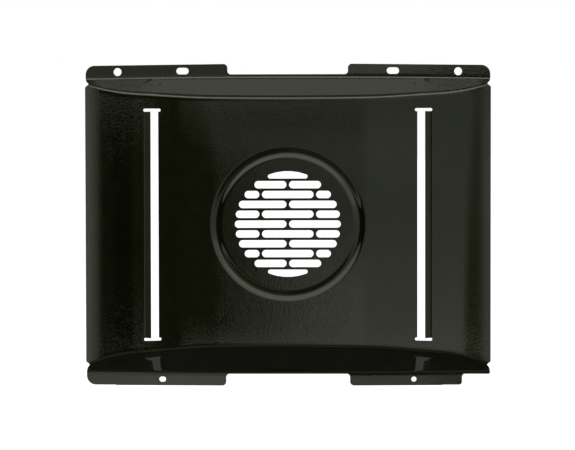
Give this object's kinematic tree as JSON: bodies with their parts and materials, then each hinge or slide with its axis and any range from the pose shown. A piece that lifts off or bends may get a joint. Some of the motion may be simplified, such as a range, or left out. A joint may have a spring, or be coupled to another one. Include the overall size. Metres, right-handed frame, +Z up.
{
  "type": "motor fan cover",
  "caption": "Enamelled sheet-steel cover for an oven's fan motor: a shallow trough with a round inlet grille, side louvres and screw flanges.",
  "frame": {"origin": "middle of the whole cover's bounding box", "axes": "upright as fitted: +X across the cover to the right when the hollow side is looked into, +Z up, -Y out of the hollow side, the way the flanges bear on the oven's wall"},
  "size_m": [0.4088, 0.0442, 0.3224],
  "materials": {
    "enamel": "glossy black vitreous enamel with a fine orange-peel texture"
  },
  "bodies": {
    "root": {"fan_cover": "enamel"}
  },
  "joints": []
}
